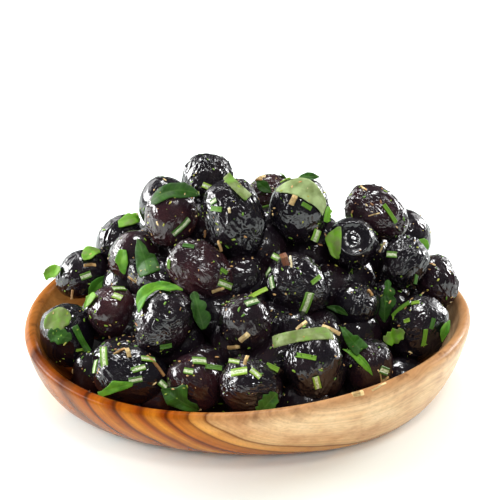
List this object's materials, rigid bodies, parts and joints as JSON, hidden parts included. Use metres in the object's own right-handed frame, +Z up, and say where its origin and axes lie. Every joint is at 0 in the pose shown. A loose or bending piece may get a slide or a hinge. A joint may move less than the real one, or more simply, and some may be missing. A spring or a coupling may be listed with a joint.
{
  "type": "bowl of olives",
  "caption": "Shallow carved olive-wood bowl heaped with wrinkled black olives, tossed with chopped parsley, cut rosemary needles and dried stalks.",
  "frame": {"origin": "middle of the bowl's flat foot, under the middle of the rim", "axes": "+Z up, -Y towards the side that is shown, +X to the right of it"},
  "size_m": [0.16, 0.16, 0.0815],
  "materials": {
    "olive_wood": "oiled olive wood, satin, with dark veins",
    "olive_skin": "oily wrinkled skin of black olives",
    "parsley": "fresh chopped parsley leaf",
    "parsley_stalk": "light green cut stalk and leaf strip"
  },
  "bodies": {
    "root": {"bowl": "olive_wood", "olives": "olive_skin", "parsley_far_1": "parsley", "parsley_far_2": "parsley", "parsley_far_3": "parsley", "parsley_far_4": "parsley", "parsley_far_5": "parsley", "parsley_far_6": "parsley", "parsley_leaf_1": "parsley", "parsley_leaf_10": "parsley", "parsley_leaf_11": "parsley", "parsley_leaf_12": "parsley", "parsley_leaf_13": "parsley", "parsley_leaf_14": "parsley", "parsley_leaf_15": "parsley", "parsley_leaf_16": "parsley", "parsley_leaf_17": "parsley", "parsley_leaf_18": "parsley", "parsley_leaf_19": "parsley", "parsley_leaf_2": "parsley", "parsley_leaf_20": "parsley", "parsley_leaf_21": "parsley", "parsley_leaf_22": "parsley", "parsley_leaf_23": "parsley", "parsley_leaf_3": "parsley", "parsley_leaf_4": "parsley", "parsley_leaf_5": "parsley", "parsley_leaf_6": "parsley", "parsley_leaf_7": "parsley", "parsley_leaf_8": "parsley", "parsley_leaf_9": "parsley", "parsley_strip_1": "parsley_stalk", "parsley_strip_2": "parsley_stalk", "parsley_strip_3": "parsley_stalk"}
  },
  "joints": []
}
